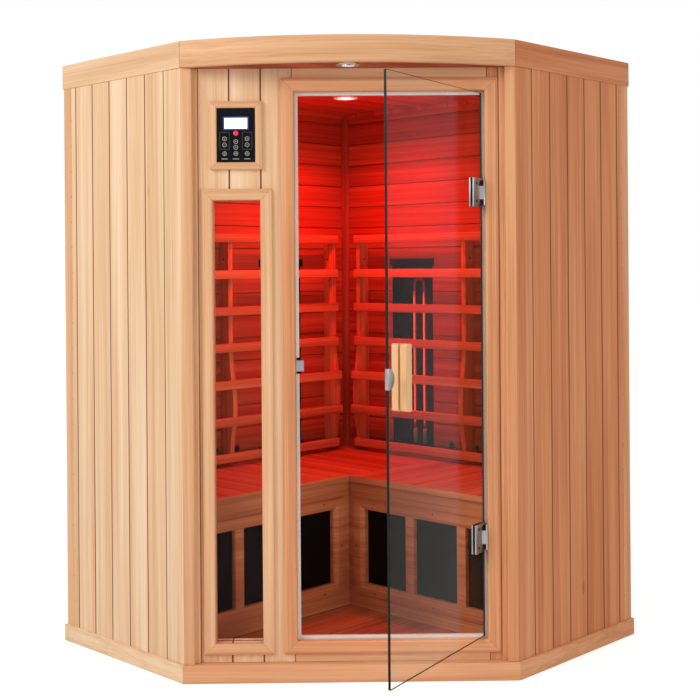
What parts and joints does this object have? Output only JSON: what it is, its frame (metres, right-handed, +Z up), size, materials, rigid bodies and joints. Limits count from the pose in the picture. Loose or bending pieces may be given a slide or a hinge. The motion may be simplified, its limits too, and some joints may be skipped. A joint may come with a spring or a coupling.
{
  "type": "infrared sauna cabin",
  "caption": "Five-sided wooden corner infrared sauna cabin with an open glass door, a side window, a control panel, a corner bench, slatted backrests and wall and bench heaters.",
  "frame": {"origin": "on the floor, at the centre of the square that the plan is cut from", "axes": "+Z up, -Y out of the front with the door, +X to the right of someone facing the door from outside"},
  "size_m": [1.8922, 1.8265, 1.9],
  "materials": {
    "pale_wood": "sanded, unlacquered softwood",
    "bench_wood": "sanded, unlacquered softwood",
    "handle_wood": "smooth sanded",
    "clear_glass": "clear toughened",
    "satin_steel": "satin",
    "polished_chrome": "polished",
    "seal_grey": "matt",
    "black_plastic": "fine texture",
    "black_heater": "matt carbon coating",
    "black_sheet": "semi-matt",
    "red_quartz": "ruby quartz",
    "lamp_lens": "frosted",
    "frosted_lens": "frosted",
    "display_glass": "clear window over a display",
    "key_grey": "fine texture"
  },
  "bodies": {
    "cabin": {"base_plinth": "pale_wood", "left_side_panel": "pale_wood", "right_side_panel": "pale_wood", "left_back_panel": "pale_wood", "right_back_panel": "pale_wood", "front_panel": "pale_wood", "left_front_post": "pale_wood", "right_front_post": "pale_wood", "rear_corner_trim": "pale_wood", "roof_panel": "pale_wood", "front_fascia": "pale_wood", "left_fascia": "pale_wood", "right_fascia": "pale_wood", "door_frame": "pale_wood", "window_frame": "pale_wood", "control_surround": "pale_wood", "floor_deck": "bench_wood", "left_bench_top": "bench_wood", "right_bench_top": "bench_wood", "left_bench_skirt": "bench_wood", "right_bench_skirt": "bench_wood", "left_backrest": "bench_wood", "right_backrest": "bench_wood", "window_glass": "clear_glass", "door_catch": "satin_steel", "upper_hinge_bracket": "satin_steel", "upper_hinge_pin": "satin_steel", "lower_hinge_bracket": "satin_steel", "lower_hinge_pin": "satin_steel", "soffit_light_bezel": "polished_chrome", "ceiling_light_bezel": "polished_chrome", "door_seal": "seal_grey", "control_housing": "black_plastic", "control_faceplate": "black_plastic", "left_bench_heater": "black_heater", "right_bench_heater": "black_heater", "left_heater_housing": "black_sheet", "right_heater_housing": "black_sheet", "left_heater_tube": "red_quartz", "right_heater_tube": "red_quartz", "ceiling_light_lens": "lamp_lens", "soffit_light_lens": "frosted_lens", "control_display": "display_glass"},
    "door": {"door_glass": "clear_glass", "door_handle_outer": "handle_wood", "door_handle_inner": "handle_wood", "door_strike": "satin_steel", "upper_hinge_clamp_outer": "satin_steel", "upper_hinge_clamp_inner": "satin_steel", "lower_hinge_clamp_outer": "satin_steel", "lower_hinge_clamp_inner": "satin_steel"},
    "key_1": {"control_key_1": "key_grey"},
    "key_2": {"control_key_2": "key_grey"},
    "key_3": {"control_key_3": "key_grey"},
    "key_4": {"control_key_4": "key_grey"},
    "key_5": {"control_key_5": "key_grey"},
    "key_6": {"control_key_6": "key_grey"},
    "key_7": {"control_key_7": "key_grey"},
    "key_8": {"control_key_8": "key_grey"},
    "key_9": {"control_key_9": "key_grey"}
  },
  "joints": [
    {"name": "door_hinge", "type": "hinge", "parent": "cabin", "child": "door", "pos_m": [0.3885, -0.42029, 0.9345], "axis": [0, 0, 1], "range_deg": [-57, 43]},
    {"name": "key_1_press", "type": "slide", "parent": "cabin", "child": "key_1", "axis": [0, 1, 0], "range_m": [0, 0.0008], "stiffness_N_per_m": 400},
    {"name": "key_2_press", "type": "slide", "parent": "cabin", "child": "key_2", "axis": [0, 1, 0], "range_m": [0, 0.0008], "stiffness_N_per_m": 400},
    {"name": "key_3_press", "type": "slide", "parent": "cabin", "child": "key_3", "axis": [0, 1, 0], "range_m": [0, 0.0008], "stiffness_N_per_m": 400},
    {"name": "key_4_press", "type": "slide", "parent": "cabin", "child": "key_4", "axis": [0, 1, 0], "range_m": [0, 0.0008], "stiffness_N_per_m": 400},
    {"name": "key_5_press", "type": "slide", "parent": "cabin", "child": "key_5", "axis": [0, 1, 0], "range_m": [0, 0.0008], "stiffness_N_per_m": 400},
    {"name": "key_6_press", "type": "slide", "parent": "cabin", "child": "key_6", "axis": [0, 1, 0], "range_m": [0, 0.0008], "stiffness_N_per_m": 400},
    {"name": "key_7_press", "type": "slide", "parent": "cabin", "child": "key_7", "axis": [0, 1, 0], "range_m": [0, 0.0008], "stiffness_N_per_m": 400},
    {"name": "key_8_press", "type": "slide", "parent": "cabin", "child": "key_8", "axis": [0, 1, 0], "range_m": [0, 0.0008], "stiffness_N_per_m": 400},
    {"name": "key_9_press", "type": "slide", "parent": "cabin", "child": "key_9", "axis": [0, 1, 0], "range_m": [0, 0.0008], "stiffness_N_per_m": 400}
  ]
}
